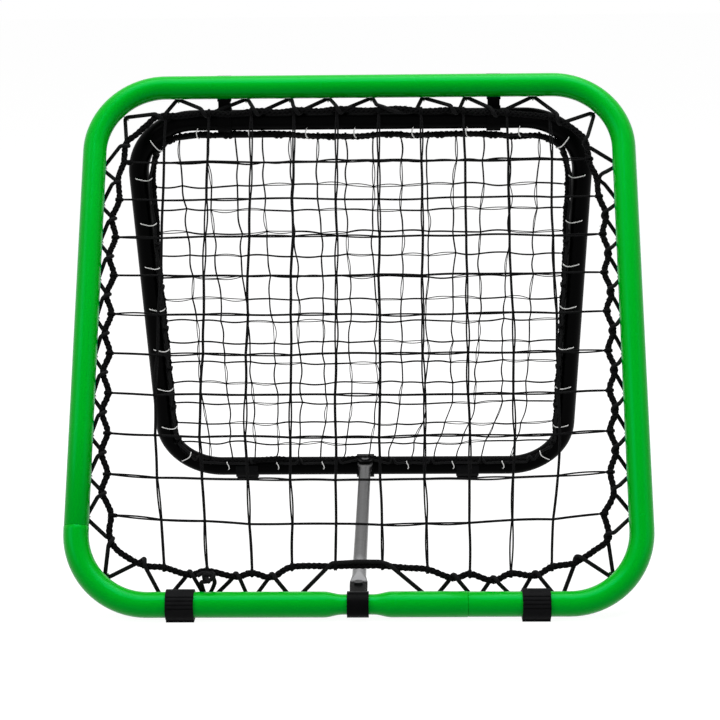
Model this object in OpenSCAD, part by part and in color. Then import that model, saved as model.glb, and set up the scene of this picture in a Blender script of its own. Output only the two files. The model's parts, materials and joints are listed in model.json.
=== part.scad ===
// Folding pitch back rebounder: two netted tube frames hinged at the top,
// held apart by one stay between their bottom bars.
// +X runs along the bars, +Y from the front frame to the rear one, +Z up.

/* [Front frame] */
// Outside width of the front frame
front_w = 660; // [600:5:760]
// Outside height of the front frame, along its slope
front_h = 656; // [600:4:760]
// Outside diameter of the front tube
front_tube_d = 28.6; // [24:0.2:34]
// Wall of the front tube
front_wall = 1.5; // [1:0.1:2.5]
// Bend radius of the front corners, to the tube's centreline
front_bend_r = 83; // [70:1:110]
// Lean of the front frame back from upright, in degrees
front_lean = 30.1; // [24:0.1:34]
// Diameter of the narrowed waist that the stay socket grips
waist_d = 22.4; // [18:0.2:24]
// Length of the narrowed waist
waist_len = 34; // [30:1:44]

/* [Rear frame] */
// Outside width of the rear frame
rear_w = 574; // [520:2:596]
// Lean of the rear frame forward from upright, in degrees
rear_lean = 22.87; // [20:0.01:26]
// Outside diameter of the rear tube
rear_tube_d = 25; // [20:0.2:28]
// Wall of the rear tube
rear_wall = 1.5; // [1:0.1:2.5]
// Bend radius of the rear corners, to the tube's centreline
rear_bend_r = 75; // [60:1:100]

/* [Hinge] */
// Drop of the hinge axis below the front top bar, along the front frame
hinge_drop = 32.2; // [31.6:0.2:38]
// Distance of the hinge axis behind the front frame's plane
hinge_back = 23.6; // [23.4:0.1:28]
// Distance of each hinge bracket from the middle
hinge_x = 163; // [158:0.5:166]
// Width of a hinge bracket
bracket_w = 16.6; // [12:0.2:18]
// Wall of a bracket's rings
bracket_wall = 2.5; // [2:0.1:3]
// Thickness of the web between a bracket's rings
bracket_web = 7; // [5:0.5:10]

/* [Stay] */
// Outside diameter of the stay tube
stay_d = 16; // [12:0.5:18]
// Wall of the stay tube
stay_wall = 1.2; // [0.8:0.1:2]
// Thickness of the stay's flattened ends
stay_flat_t = 5; // [4:0.5:6]
// Width of the stay's flattened ends
stay_flat_w = 20; // [18:0.5:22]
// Distance of the locking peg behind the front bottom bar
peg_reach = 37; // [36:0.5:42]
// Diameter of the locking peg
peg_d = 6; // [5:0.5:7]
// Wall of the socket and of the pivot collar
collar_wall = 3.2; // [2.6:0.1:3.6]
// Width of the socket and of the pivot collar
collar_w = 24; // [20:1:28]
// Thickness of the tabs on the socket and on the collar
tab_t = 3; // [2.4:0.2:3.6]

/* [Lacing and nets] */
// Diameter of the steel hook wire
hook_wire_d = 2.4; // [2:0.1:2.6]
// Diameter of the front elastic
front_elastic_d = 4.4; // [3.6:0.2:5.6]
// Diameter of the rear elastic
rear_elastic_d = 3.8; // [3.2:0.2:4.4]
// Diameter of the border ropes
rope_d = 7.6; // [6.6:0.2:8.8]
// Diameter of the front net's strings
front_string_d = 2.4; // [1.8:0.2:3]
// Diameter of the rear net's strings
rear_string_d = 1.8; // [1.4:0.2:2.2]
// Mesh of the front net across
front_mesh_x = 50.5; // [48:0.5:52]
// Mesh of the front net up its slope, and the pitch of its side hooks
front_mesh_z = 47.6; // [46:0.2:48.4]
// Mesh of the rear net
rear_mesh = 33.7; // [31:0.1:34.4]

/* [Feet] */
// Width of a front foot
front_foot_w = 31; // [26:1:32]
// Wall of a front foot
front_foot_wall = 2.9; // [2.4:0.1:4]
// Distance of each front foot from the middle
front_foot_x = 196; // [190:1:202]
// Width of a rear foot
rear_foot_w = 31; // [24:1:36]
// Wall of a rear foot's clip
rear_foot_wall = 2.8; // [2:0.1:4]
// Height of a rear foot's sole below the tube
rear_foot_drop = 7.5; // [5:0.5:10]
// Distance of the left rear foot from the middle
rear_foot_left_x = 165; // [152:1:167]
// Distance of the right rear foot from the middle
rear_foot_right_x = 142; // [140:1:156]

/* [Hidden] */
$fn = 48;

green = "limegreen";
black = "#1a1a1a";
steel = "silver";
fit_gap = 0.1;        // clearance of fixed pieces
run_gap = 0.35;       // clearance of turning pieces
touch_gap = 0.3;      // rest gap between soft pieces and their neighbours
down = 270;           // direction down a frame's plane, in degrees

// Front frame, in its own plane: x across, z up the slope, y behind it
front_r = front_tube_d / 2;
front_cx = front_w / 2 - front_r;
front_cz = front_h - front_tube_d;
front_z0 = front_r + front_foot_wall;

// Rear frame, in its own plane
rear_r = rear_tube_d / 2;
rear_cx = rear_w / 2 - rear_r;
rear_z0 = rear_r + rear_foot_drop;

// Side view of the A: points are [y, z] from the front bottom bar
hinge_up = front_cz - hinge_drop;
hinge_y = hinge_up * sin(front_lean) + hinge_back * cos(front_lean);
hinge_z = front_z0 + hinge_up * cos(front_lean) - hinge_back * sin(front_lean);
rear_cz = (hinge_z - rear_z0) / cos(rear_lean);
span = hinge_y + rear_cz * sin(rear_lean);
tread_half = 9;
tread_rise = 6;
groove_first = 4;
groove_step = 15;
groove_w = 1.8;
clip_front = 105;
clip_back = 120;
sole_front = 4.5;
sole_back = 9;
sole_chamfer = 3;
front_reach = front_r + front_foot_wall;
rear_reach = rear_r + fit_gap + rear_foot_wall;
front_y0 = -(span + front_reach + rear_reach) / 2 + front_reach;
rear_y0 = front_y0 + span;
fold_angle = front_lean + rear_lean;

// Stay: its centreline passes over the rear bottom bar and under the socket's tab
collar_r = rear_r + run_gap + collar_wall;
stay_rise = collar_r - tab_t - fit_gap - stay_flat_t / 2;
socket_r = waist_d / 2 + fit_gap + collar_wall;
tab_rise = 8;
tab_w = 16;
stay_gap = 0.5;
peg_drop = tab_rise - stay_gap - stay_flat_t / 2;
stay_vy = front_y0 + peg_reach - rear_y0;
stay_vz = front_z0 + peg_drop - rear_z0;
stay_len = sqrt(stay_vy * stay_vy + stay_vz * stay_vz - stay_rise * stay_rise);
stay_tilt = atan2(stay_vz, stay_vy) - atan2(stay_rise, -stay_len);
peg_r = peg_d / 2;
peg_play = 1.3;
peg_hole_r = peg_r + peg_play;
stay_eye_len = 14;
stay_taper = 20;
stay_root = collar_r - tab_t + 1;
rivet_r = 3;
rivet_y = stay_root + 11;

// Slip joints of the front tube
seam_x = 121;
seam_z = front_bend_r + 5;
spigot_len = 32;
neck_len = 3;
spigot_r = front_r - front_wall - fit_gap;
waist_run = 21;

// Hooks: a leg along the tube's inner face and a curl round the elastic
wire_r = hook_wire_d / 2;
hook_root = 2;
hook_curl = 150;
front_curl_r = front_elastic_d / 2 + touch_gap + wire_r;
rear_curl_r = rear_elastic_d / 2 + touch_gap + wire_r;
hook_lift = wire_r + 0.2;
function curl_y(tube_r, curl_r) = tube_r + hook_lift - curl_r;
function curl_d(tube_r, curl_r, cord_r) =
    sqrt(pow(tube_r + cord_r + touch_gap, 2) - pow(curl_y(tube_r, curl_r), 2)) + 0.2;
front_bottom_hooks = [76, 124, 168, 222];
front_bottom_wraps = [40, 100, 146, 198];
front_top_hooks = [206, 128, 77, 13, -39, -86, -134, -218];
front_top_wraps = [183, 102, 45, -13, -62, -112, -187];
front_side_count = 10;
rear_pitch = 65;
rear_bottom_hooks = [58, 120, 188];
rear_bottom_wraps = [40, 91, 161];

// Border ropes: [place along the bar, distance inside the bar's axis]
rope_r = rope_d / 2;
front_bottom_rope = [[0, 50], [25, 50], [37, 48], [76, 43], [100, 34], [125, 38], [146, 34],
    [172, 38], [198, 34], [226, 39], [244, 42]];
front_top_rope = [[244, 42], [214, 37], [183, 33.5], [142, 37], [102, 33.5], [74, 37],
    [45, 33.5], [16, 37], [-13, 33.5], [-38, 37], [-62, 33.5], [-87, 37], [-112, 33.5],
    [-150, 36], [-187, 33.5], [-216, 37], [-244, 42]];
front_wrap_in = 25.5;
front_loop_in = 29.5;
front_bottom_in = [48, 34, 34, 34];
front_top_in = 33.5;
front_turn_x = 244;     // the wrap before a corner, its turn from the bar
front_turn_z = 42;
front_turn = 27;
front_turn_in = 38;     // the wrap after a corner, its turn from the side
front_side_turn = 32;
rear_round = [222.5, 35.2];
rear_bottom_rope = [[0, 31], [20, 31], [40, 24], [58, 24], [91, 22.8], [120, 24], [161, 22.8], [188, 25],
    [207, 29.5], rear_round];
rear_wrap_in = 22.5;
rear_loop_in = 24;
rear_bottom_in = 22.8;
rear_turn_x = 207;      // the wrap before a corner, its turn from the bar
rear_turn_z = 29.5;
rear_turn = 15;
rear_bow_z = 48.6;      // the wrap after a corner, its turn from the side
rear_bow_in = 37.3;
rear_bow = 37;
rear_side_hooks = 7;
rear_net_z = rear_cz / 2 - 6.5;

// ---- placing ----
module front_place() {
    translate([0, front_y0, front_z0]) rotate([-front_lean, 0, 0]) children();
}

module rear_place() {
    translate([0, rear_y0, rear_z0]) rotate([rear_lean, 0, 0]) children();
}

module stay_place() {
    translate([0, rear_y0, rear_z0]) rotate([stay_tilt, 0, 0]) children();
}

// ---- bars and bends, all in the frame's plane ----
module bar_x(x0, x1, r) {
    translate([x0, 0, 0]) rotate([0, 90, 0]) cylinder(r = r, h = x1 - x0);
}

module bar_z(z0, z1, r) {
    translate([0, 0, z0]) cylinder(r = r, h = z1 - z0);
}

module bend(cx, cz, start, bend_r, r) {
    translate([cx, 0, cz]) rotate([90, 0, 0]) rotate([0, 0, start])
        rotate_extrude(angle = 90) translate([bend_r, 0]) circle(r = r);
}

// The extras lengthen the run at its end on the bottom bar and at its end on the left side
module main_run(r, bar_extra, side_extra) {
    right = front_cx - front_bend_r;
    top = front_cz - front_bend_r;
    bar_x(seam_x - bar_extra, right, r);
    bend(right, front_bend_r, down, front_bend_r, r);
    translate([front_cx, 0, 0]) bar_z(front_bend_r, top, r);
    bend(right, top, 0, front_bend_r, r);
    translate([0, 0, front_cz]) bar_x(-right, right, r);
    bend(-right, top, 90, front_bend_r, r);
    translate([-front_cx, 0, 0]) bar_z(seam_z - side_extra, top, r);
}

// Half of the waist's outline, from the middle outwards, for a tube of radius r
function waist_line(r, thin) = [[waist_d / 2 - thin, 0], [waist_d / 2 - thin, waist_len / 2],
    [r - thin, waist_len / 2 + waist_run]];

module waist(thin) {
    line = waist_line(front_r, thin);
    for (side = [0, 1]) mirror([side, 0, 0]) rotate([0, 90, 0]) rotate_extrude()
        polygon(concat([[0, 0]], line, [[0, waist_len / 2 + waist_run]]));
}

module lower_run(thin, bar_extra, side_extra) {
    left = front_cx - front_bend_r;
    flank = waist_len / 2 + waist_run;
    r = front_r - thin;
    translate([-front_cx, 0, 0]) bar_z(front_bend_r, seam_z + side_extra, r);
    bend(-left, front_bend_r, 180, front_bend_r, r);
    bar_x(-left, -flank, r);
    waist(thin);
    bar_x(flank, seam_x + bar_extra, r);
}

// Each tube ends in a narrowed spigot that slides into the other tube
module front_main_tube() {
    color(green) front_place() difference() {
        union() {
            main_run(front_r, 0, 0);
            bar_x(seam_x - spigot_len, seam_x + 1, spigot_r);
        }
        main_run(front_r - front_wall, -neck_len, 1);
        bar_x(seam_x - spigot_len - 1, seam_x + neck_len + 1, spigot_r - front_wall);
    }
}

module front_lower_tube() {
    color(green) front_place() difference() {
        union() {
            lower_run(0, 0, 0);
            translate([-front_cx, 0, 0]) bar_z(seam_z - 1, seam_z + spigot_len, spigot_r);
        }
        lower_run(front_wall, 1, -neck_len);
        translate([-front_cx, 0, 0])
            bar_z(seam_z - neck_len - 1, seam_z + spigot_len + 1, spigot_r - front_wall);
    }
}

module rear_run(r) {
    right = rear_cx - rear_bend_r;
    top = rear_cz - rear_bend_r;
    bar_x(-right, right, r);
    translate([0, 0, rear_cz]) bar_x(-right, right, r);
    for (side = [-1, 1]) translate([side * rear_cx, 0, 0]) bar_z(rear_bend_r, top, r);
    bend(right, rear_bend_r, down, rear_bend_r, r);
    bend(right, top, 0, rear_bend_r, r);
    bend(-right, top, 90, rear_bend_r, r);
    bend(-right, rear_bend_r, 180, rear_bend_r, r);
}

module rear_tube() {
    color(black) rear_place() difference() {
        rear_run(rear_r);
        rear_run(rear_r - rear_wall);
    }
}

// ---- feet ----
module front_foot(x) {
    half = front_foot_w / 2;
    outer = front_r + front_foot_wall;
    color(black) translate([x, front_y0, front_z0]) difference() {
        union() {
            bar_x(-half, half, outer);
            translate([-half, -tread_half, -outer]) cube([front_foot_w, 2 * tread_half, tread_rise]);
        }
        bar_x(-half - 1, half + 1, front_r + fit_gap);
        for (k = [0:3]) rotate([-groove_first - groove_step * k, 0, 0])
            translate([-half - 1, -outer - 1, -groove_w / 2]) cube([front_foot_w + 2, 2, groove_w]);
    }
}

module front_foot_left() {
    front_foot(-front_foot_x);
}

module front_foot_right() {
    front_foot(front_foot_x);
}

// A clip open towards the lacing, on a sole with chamfered corners. The sole is cut back in
// front, which keeps it off the front lacing when the frames are folded
module rear_foot(x) {
    half = rear_foot_w / 2;
    heel = half - 1;
    sole = heel - sole_chamfer;
    color(black) translate([x, rear_y0, rear_z0]) {
        rotate([0, 90, 0]) rotate([0, 0, -clip_front]) rotate_extrude(angle = clip_front + clip_back)
            translate([rear_r + fit_gap, -half]) square([rear_foot_wall, rear_foot_w]);
        difference() {
            rotate([90, 0, 0]) translate([0, 0, -sole_back]) linear_extrude(height = sole_front + sole_back)
                polygon([[-sole, -rear_z0], [sole, -rear_z0], [heel, sole_chamfer - rear_z0],
                    [heel, -rear_r / 2], [-heel, -rear_r / 2], [-heel, sole_chamfer - rear_z0]]);
            bar_x(-half - 1, half + 1, rear_r + fit_gap + rear_foot_wall / 2);
        }
    }
}

module rear_foot_left() {
    rear_foot(-rear_foot_left_x);
}

module rear_foot_right() {
    rear_foot(rear_foot_right_x);
}

// ---- stations round a frame, counter-clockwise from the front ----
// A station is [x, z, inward angle, kind, distance in]; kind 0 is a hook, 1 a wrap round
// the border rope, 2 a pass outside the rope and 3 a wrap that turns the other way
function corner(cx, cz, bend_r, a) =
    [cx - bend_r * cos(a), cz - bend_r * sin(a), a, 0, 0];
function turned(x, z, a, d = 40) = [x - d * cos(a), z - d * sin(a), a, 1, d];
function side_z(k, count, pitch, cz) = cz / 2 + (k - (count - 1) / 2) * pitch;

front_inx = front_cx - front_bend_r;
front_top_z = front_cz - front_bend_r;
front_end_z = front_cz / 2 - front_side_count / 2 * front_mesh_z;
front_lace = concat(
    [corner(-front_inx, front_bend_r, front_bend_r, 45),
        turned(-front_turn_x, front_turn_z, 90 - front_turn)],
    [for (k = [3:-1:0]) each [[-front_bottom_hooks[k], 0, 90, 0, 0],
        [-front_bottom_wraps[k], 0, 90, 1, front_bottom_in[k]]]],
    [[0, 0, 90, 2, front_bottom_rope[0][1]]],
    [for (k = [0:3]) each [[front_bottom_wraps[k], 0, 90, 1, front_bottom_in[k]],
        [front_bottom_hooks[k], 0, 90, 0, 0]]],
    [turned(front_turn_x, front_turn_z, 90 + front_turn),
        corner(front_inx, front_bend_r, front_bend_r, 135),
        turned(front_cx - front_turn_in, front_end_z, 180 - front_side_turn),
        [front_cx, side_z(0, front_side_count, front_mesh_z, front_cz), 180, 0, 0]],
    [for (k = [1:front_side_count - 1]) let (z = side_z(k, front_side_count, front_mesh_z, front_cz))
        each [[front_cx, z - front_mesh_z / 2, 180, 1, front_wrap_in], [front_cx, z, 180, 0, 0]]],
    [turned(front_cx - front_turn_in, front_cz - front_end_z, 180 + front_side_turn),
        corner(front_inx, front_top_z, front_bend_r, 225),
        turned(front_turn_x, front_cz - front_turn_z, down - front_turn),
        [front_top_hooks[0], front_cz, down, 0, 0]],
    [for (k = [0:6]) each [[front_top_wraps[k], front_cz, down, k == 6 ? 3 : 1, front_top_in],
        [front_top_hooks[k + 1], front_cz, down, 0, 0]]],
    [turned(-front_turn_x, front_cz - front_turn_z, down + front_turn),
        corner(-front_inx, front_top_z, front_bend_r, 315),
        turned(front_turn_in - front_cx, front_cz - front_end_z, -front_side_turn),
        [-front_cx, side_z(front_side_count - 1, front_side_count, front_mesh_z, front_cz), 0, 0, 0]],
    [for (k = [front_side_count - 2:-1:0])
        let (z = side_z(k, front_side_count, front_mesh_z, front_cz))
        each [[-front_cx, z + front_mesh_z / 2, 0, 1, front_wrap_in], [-front_cx, z, 0, 0, 0]]],
    [turned(front_turn_in - front_cx, front_end_z, front_side_turn)]);

rear_inx = rear_cx - rear_bend_r;
rear_top_z = rear_cz - rear_bend_r;
rear_lace = concat(
    [corner(-rear_inx, rear_bend_r, rear_bend_r, 45),
        turned(-rear_turn_x, rear_turn_z, 90 - rear_turn)],
    [for (k = [2:-1:0]) each [[-rear_bottom_hooks[k], 0, 90, 0, 0],
        [-rear_bottom_wraps[k], 0, 90, 1, k == 0 ? rear_loop_in : rear_bottom_in]]],
    [[0, 0, 90, 2, rear_bottom_rope[0][1]]],
    [for (k = [0:2]) each [[rear_bottom_wraps[k], 0, 90, 1, k == 0 ? rear_loop_in : rear_bottom_in],
        [rear_bottom_hooks[k], 0, 90, 0, 0]]],
    [turned(rear_turn_x, rear_turn_z, 90 + rear_turn),
        corner(rear_inx, rear_bend_r, rear_bend_r, 135),
        turned(rear_cx - rear_bow_in, rear_bow_z, 180 - rear_bow),
        [rear_cx, side_z(0, rear_side_hooks, rear_pitch, rear_cz), 180, 0, 0]],
    [for (k = [1:rear_side_hooks - 1]) let (z = side_z(k, rear_side_hooks, rear_pitch, rear_cz))
        each [[rear_cx, z - rear_pitch / 2, 180, 1, rear_wrap_in], [rear_cx, z, 180, 0, 0]]],
    [turned(rear_cx - rear_bow_in, rear_cz - rear_bow_z, 180 + rear_bow),
        corner(rear_inx, rear_top_z, rear_bend_r, 225),
        turned(rear_turn_x, rear_cz - rear_turn_z, down - rear_turn), [3 * rear_pitch, rear_cz, down, 0, 0]],
    [for (k = [2:-1:-3]) each [[(k + 0.5) * rear_pitch, rear_cz, down, 1, rear_wrap_in],
        [k * rear_pitch, rear_cz, down, 0, 0]]],
    [turned(-rear_turn_x, rear_cz - rear_turn_z, down + rear_turn),
        corner(-rear_inx, rear_top_z, rear_bend_r, 315),
        turned(rear_bow_in - rear_cx, rear_cz - rear_bow_z, -rear_bow),
        [-rear_cx, side_z(rear_side_hooks - 1, rear_side_hooks, rear_pitch, rear_cz), 0, 0, 0]],
    [for (k = [rear_side_hooks - 2:-1:0]) let (z = side_z(k, rear_side_hooks, rear_pitch, rear_cz))
        each [[-rear_cx, z + rear_pitch / 2, 0, 1, rear_wrap_in], [-rear_cx, z, 0, 0, 0]]],
    [turned(rear_bow_in - rear_cx, rear_bow_z, rear_bow)]);

// ---- hooks ----
module hook(tube_r, curl_r, cord_r) {
    cy = curl_y(tube_r, curl_r);
    cd = curl_d(tube_r, curl_r, cord_r);
    bend_step = hook_curl / 4;
    cord(concat([[hook_root, tube_r + 0.2, 0], [hook_root + wire_r / 2, tube_r + hook_lift, 0]],
        [for (k = [0:4]) [cd + curl_r * cos(90 - k * bend_step),
            cy + curl_r * sin(90 - k * bend_step), 0]]), wire_r, 5);
}

module hooks(lace, side, tube_r, curl_r, cord_r) {
    for (s = lace) if (s[3] == 0) translate([s[0], 0, s[1]]) rotate([0, -s[2], 0])
        rotate([side < 0 ? 180 : 0, 0, 0]) hook(tube_r, curl_r, cord_r);
}

module front_hooks() {
    color(steel) front_place() hooks(front_lace, 1, front_r, front_curl_r, front_elastic_d / 2);
}

module rear_hooks() {
    color(steel) rear_place() hooks(rear_lace, -1, rear_r, rear_curl_r, rear_elastic_d / 2);
}

// ---- cords ----
// A point t along, d inside and y behind a station
function off(s, t, d, y) =
    [s[0] + d * cos(s[2]) + t * sin(s[2]), y, s[1] + d * sin(s[2]) - t * cos(s[2])];

function hook_points(s, side, cd, cy, cord_r) = [for (t = [-1, 0, 1])
    off(s, t * (cord_r + wire_r + 1), cd + abs(t) * 0.8, side * cy)];

// Six points of a turn round the rope, from the hooks' side over the inside to the other
function wrap_points(s, side, w) = [
    off(s, -6, s[4] - 0.55 * w, side * 0.88 * w),
    off(s, -3.5, s[4] + 0.3 * w, side * 0.98 * w),
    off(s, -1.2, s[4] + 0.98 * w, side * 0.34 * w),
    off(s, 1.2, s[4] + 0.98 * w, -side * 0.34 * w),
    off(s, 3.5, s[4] + 0.3 * w, -side * 0.98 * w),
    off(s, 6, s[4] - 0.55 * w, -side * 0.88 * w)];

function lace_points(lace, side, cd, cy, cord_r, w) = [for (s = lace)
    each s[3] == 0 ? hook_points(s, side, cd, cy, cord_r)
        : s[3] == 2 ? [off(s, 0, s[4] - w - 1, 0)]
        : wrap_points(s, s[3] == 3 ? -side : side, w)];

function unit(v) = v / norm(v);

// Directions along a path, and a frame carried along it without twist
function tangents(p) = [for (i = [0:len(p) - 1])
    unit(p[min(i + 1, len(p) - 1)] - p[max(i - 1, 0)])];
function carry(n, t) = unit(n - (n * t) * t);
function normals(tan) = [for (i = 0, n = carry([0.3, 1, 0.2], tan[0]); i < len(tan);
    i = i + 1, n = i < len(tan) ? carry(n, tan[i]) : n) n];

module cord(p, r, sides) {
    tan = tangents(p);
    nor = normals(tan);
    last = len(p) - 1;
    rings = [for (i = [0:last]) let (b = cross(tan[i], nor[i])) each [for (k = [0:sides - 1])
        p[i] + r * (cos(360 * k / sides) * nor[i] + sin(360 * k / sides) * b)]];
    caps = [p[0], p[last]];
    walls = [for (i = [0:last - 1], k = [0:sides - 1]) let (a = i * sides + k,
        b = i * sides + (k + 1) % sides) each [[a, a + sides, b], [b, a + sides, b + sides]]];
    ends = [for (k = [0:sides - 1]) let (m = (k + 1) % sides)
        each [[(last + 1) * sides, k, m],
            [(last + 1) * sides + 1, last * sides + m, last * sides + k]]];
    polyhedron(points = concat(rings, caps), faces = concat(walls, ends));
}

// A closed rope lying in the frame's plane
module ring_cord(p, r, sides) {
    n = len(p);
    rings = [for (i = [0:n - 1]) let (t = unit(p[(i + 1) % n] - p[(i + n - 1) % n]),
        b = cross(t, [0, 1, 0])) each [for (k = [0:sides - 1])
        p[i] + r * (cos(360 * k / sides) * [0, 1, 0] + sin(360 * k / sides) * b)]];
    walls = [for (i = [0:n - 1], k = [0:sides - 1]) let (j = (i + 1) % n,
        a = i * sides + k, b = i * sides + (k + 1) % sides, c = j * sides + k,
        d = j * sides + (k + 1) % sides) each [[a, c, b], [b, c, d]]];
    polyhedron(points = rings, faces = walls);
}

module front_elastic() {
    cord_r = front_elastic_d / 2;
    color(black) front_place() cord(lace_points(front_lace, 1,
        curl_d(front_r, front_curl_r, cord_r), curl_y(front_r, front_curl_r), cord_r,
        rope_r + cord_r + 1.4), cord_r, 6);
}

module rear_elastic() {
    cord_r = rear_elastic_d / 2;
    color(black) rear_place() cord(lace_points(rear_lace, -1,
        curl_d(rear_r, rear_curl_r, cord_r), curl_y(rear_r, rear_curl_r), cord_r,
        rope_r + cord_r + 1.2), cord_r, 6);
}

// Rope points up one side: a dip at each wrap, a swell at each hook, a turned wrap at each end
function side_rope(count, pitch, cz, wrap_in, loop_in, end_z, end_in) = concat([[end_z, end_in]],
    [for (k = [1:2 * count - 1]) [cz / 2 + (k - count) * pitch / 2, k % 2 == 0 ? wrap_in : loop_in]],
    [[cz - end_z, end_in]]);
front_side_rope = side_rope(front_side_count, front_mesh_z, front_cz,
    front_wrap_in, front_loop_in, front_end_z, front_turn_in);
rear_side_rope = side_rope(rear_side_hooks, rear_pitch, rear_cz,
    rear_wrap_in, rear_loop_in, rear_bow_z, rear_bow_in);
rear_top_half = concat([for (k = [0:5]) [k * rear_pitch / 2, k % 2 == 0 ? rear_loop_in : rear_wrap_in]],
    [[3 * rear_pitch, 25], [rear_turn_x, rear_turn_z], rear_round]);

function mirrored(list) = [for (i = [len(list) - 1:-1:1]) [-list[i][0], list[i][1]]];
function whole(list) = concat(mirrored(list), list);
function reversed(list) = [for (i = [len(list) - 1:-1:0]) list[i]];

front_bottom_line = whole(front_bottom_rope);
rear_bottom_line = whole(rear_bottom_rope);
rear_top_line = whole(rear_top_half);

function rope_points(bottom, side, top, cx, cz) = concat(
    [for (q = bottom) [q[0], 0, q[1]]], [for (q = side) [cx - q[1], 0, q[0]]],
    [for (q = top) [q[0], 0, cz - q[1]]], [for (q = reversed(side)) [q[1] - cx, 0, q[0]]]);

front_rope = rope_points(front_bottom_line, front_side_rope, front_top_rope, front_cx, front_cz);
rear_rope = rope_points(rear_bottom_line, rear_side_rope, reversed(rear_top_line), rear_cx, rear_cz);

module front_border_rope() {
    color(black) front_place() ring_cord(front_rope, rope_r, 8);
}

module rear_border_rope() {
    color(black) rear_place() ring_cord(rear_rope, rope_r, 8);
}

// ---- nets: flat grids whose strings end at the border rope ----
module net(xs, zs, rope, cx, cz, d) {
    translate([0, d / 2, 0]) rotate([90, 0, 0]) linear_extrude(height = d) intersection() {
        union() {
            for (x = xs) translate([x - d / 2, 0]) square([d, cz]);
            for (z = zs) translate([-cx, z - d / 2]) square([2 * cx, d]);
        }
        offset(delta = -rope_r - touch_gap) polygon([for (q = rope) [q[0], q[2]]]);
    }
}

module front_net() {
    xs = [for (k = [0:9]) (k - 4.5) * front_mesh_x];
    zs = [for (k = [0:9]) side_z(k, 10, front_mesh_z, front_cz)];
    color(black) front_place() net(xs, zs, front_rope, front_cx, front_cz, front_string_d);
}

module rear_net() {
    xs = [for (k = [0:13]) (k - 6.5) * rear_mesh];
    zs = [for (k = [0:13]) rear_net_z + (k - 6.5) * rear_mesh];
    color(black) rear_place() net(xs, zs, rear_rope, rear_cx, rear_cz, rear_string_d);
}

// ---- hinge brackets ----
// Seen along X in the front frame's plane, from the front top bar's axis
web_len = sqrt(hinge_drop * hinge_drop + hinge_back * hinge_back);
web_turn = atan2(hinge_back, hinge_drop);
saddle_r = front_r + fit_gap + bracket_wall;
ring_r = rear_r + run_gap + bracket_wall;
saddle_span = 150;
saddle_lip = 13;
screw_turn = saddle_span / 2 - saddle_lip;

module ring_part(inner_r, angle, start) {
    rotate([0, 90, 0]) rotate([0, 0, start]) rotate_extrude(angle = angle)
        translate([inner_r, -bracket_w / 2]) square([bracket_wall, bracket_w]);
}

module hinge_bracket(x) {
    web_w = bracket_w - 2;
    top = front_r + fit_gap + bracket_wall / 2;
    low = web_len - rear_r - run_gap - bracket_wall / 2;
    color(black) front_place() translate([x, 0, front_cz]) rotate([web_turn, 0, 0]) {
        ring_part(front_r + fit_gap, saddle_span, -saddle_lip);
        translate([-web_w / 2, -bracket_web / 2, -low]) cube([web_w, bracket_web, low - top]);
        translate([0, 0, -web_len]) ring_part(rear_r + run_gap, 360, 0);
    }
}

module hinge_bracket_left() {
    hinge_bracket(-hinge_x);
}

module hinge_bracket_right() {
    hinge_bracket(hinge_x);
}

module hinge_screws() {
    color(steel) front_place() for (side = [-1, 1]) translate([side * hinge_x, 0, front_cz])
        rotate([web_turn + screw_turn, 0, 0]) translate([0, 0, -saddle_r - 2.6])
            cylinder(r = 4, h = 2.5, $fn = 32);
}

// ---- stay and its fittings ----
module tab(width, reach, end_r) {
    translate([-width / 2, -reach, 0]) cube([width, reach, tab_t]);
    translate([0, -reach, 0]) cylinder(r = end_r, h = tab_t);
}

module stay_socket() {
    half = collar_w / 2;
    color(black) translate([0, front_y0, front_z0]) difference() {
        union() {
            bar_x(-half, half, socket_r);
            rotate([0, 0, 180]) translate([0, 0, tab_rise]) tab(tab_w, peg_reach, tab_w / 2);
        }
        bar_x(-half - 1, half + 1, waist_d / 2 + fit_gap);
        translate([0, peg_reach, 0]) cylinder(r = peg_r + fit_gap, h = 2 * tab_rise);
    }
}

module stay_peg() {
    top = tab_rise + tab_t + fit_gap;
    tip = peg_drop - stay_flat_t / 2 + 0.5;
    color(steel) translate([0, front_y0 + peg_reach, front_z0]) {
        translate([0, 0, tip]) cylinder(r = peg_r, h = top + 1 - tip);
        translate([0, 0, top]) cylinder(r = peg_r + 2, h = 2.2);
    }
}

// Flattened end of the stay, whose eye is at the origin and whose tube runs along +Y
module stay_end(eye_r, run) {
    half = stay_flat_w / 2;
    difference() {
        union() {
            translate([0, 0, -stay_flat_t / 2]) cylinder(r = half, h = stay_flat_t);
            translate([-half, 0, -stay_flat_t / 2]) cube([stay_flat_w, run, stay_flat_t]);
            hull() {
                translate([-half, run - 0.5, -stay_flat_t / 2]) cube([stay_flat_w, 0.5, stay_flat_t]);
                translate([0, run + stay_taper, 0]) rotate([-90, 0, 0])
                    cylinder(r = stay_d / 2, h = 0.5, $fn = 32);
            }
        }
        translate([0, 0, -stay_flat_t]) cylinder(r = eye_r, h = 2 * stay_flat_t);
    }
}

module stay_tube() {
    run = stay_eye_len;
    tube_start = rivet_y + run + stay_taper;
    tube_end = stay_len - run - stay_taper;
    color("gray") stay_place() translate([0, 0, stay_rise]) {
        translate([0, -rivet_y, 0]) rotate([0, 0, 180]) stay_end(rivet_r + fit_gap, run);
        difference() {
            translate([0, -tube_start, 0]) rotate([90, 0, 0])
                cylinder(r = stay_d / 2, h = tube_end - tube_start);
            translate([0, -tube_start - 2, 0]) rotate([90, 0, 0])
                cylinder(r = stay_d / 2 - stay_wall, h = tube_end - tube_start - 4);
        }
        translate([0, -stay_len, 0]) stay_end(peg_hole_r, run);
    }
}

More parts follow.
